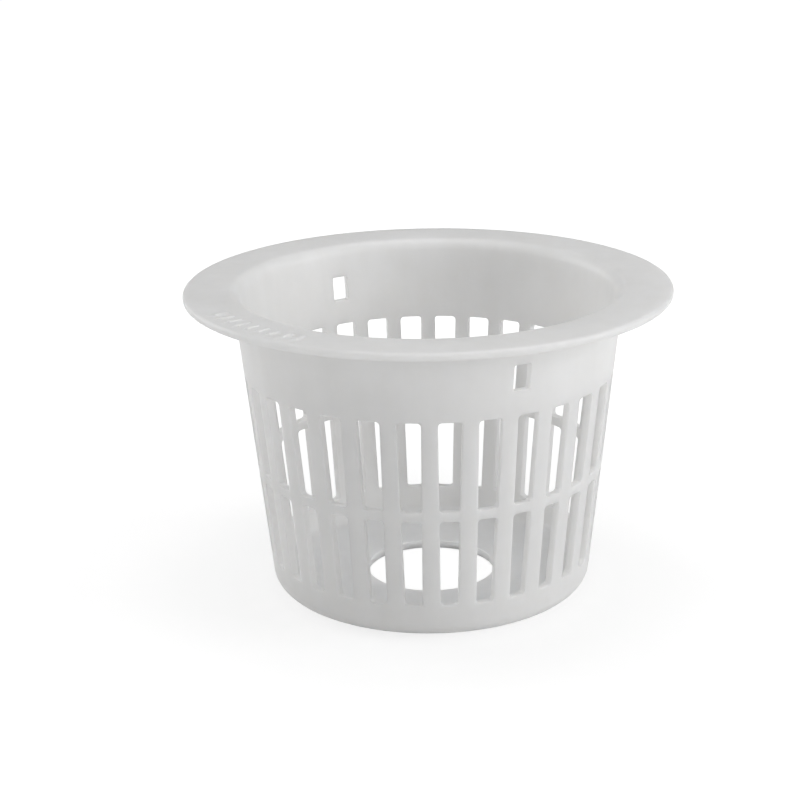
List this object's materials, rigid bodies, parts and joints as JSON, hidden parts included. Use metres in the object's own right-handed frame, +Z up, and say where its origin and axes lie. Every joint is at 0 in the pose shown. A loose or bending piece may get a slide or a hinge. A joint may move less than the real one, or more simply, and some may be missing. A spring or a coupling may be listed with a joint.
{
  "type": "hydroponic net pot",
  "caption": "Tapered slotted cup with a wide flat flange and a drain hole in its floor, for holding a plant and its growing medium in a hydroponic panel.",
  "frame": {"origin": "centre of the face the pot stands on", "axes": "+Z up along the pot's axis, through the mouth; -Y is the front, which the first upright slot lies just beside"},
  "size_m": [0.08, 0.08, 0.0516],
  "materials": {
    "moulded_plastic": "milky white polypropylene, satin"
  },
  "bodies": {
    "root": {"net_pot": "moulded_plastic"}
  },
  "joints": []
}
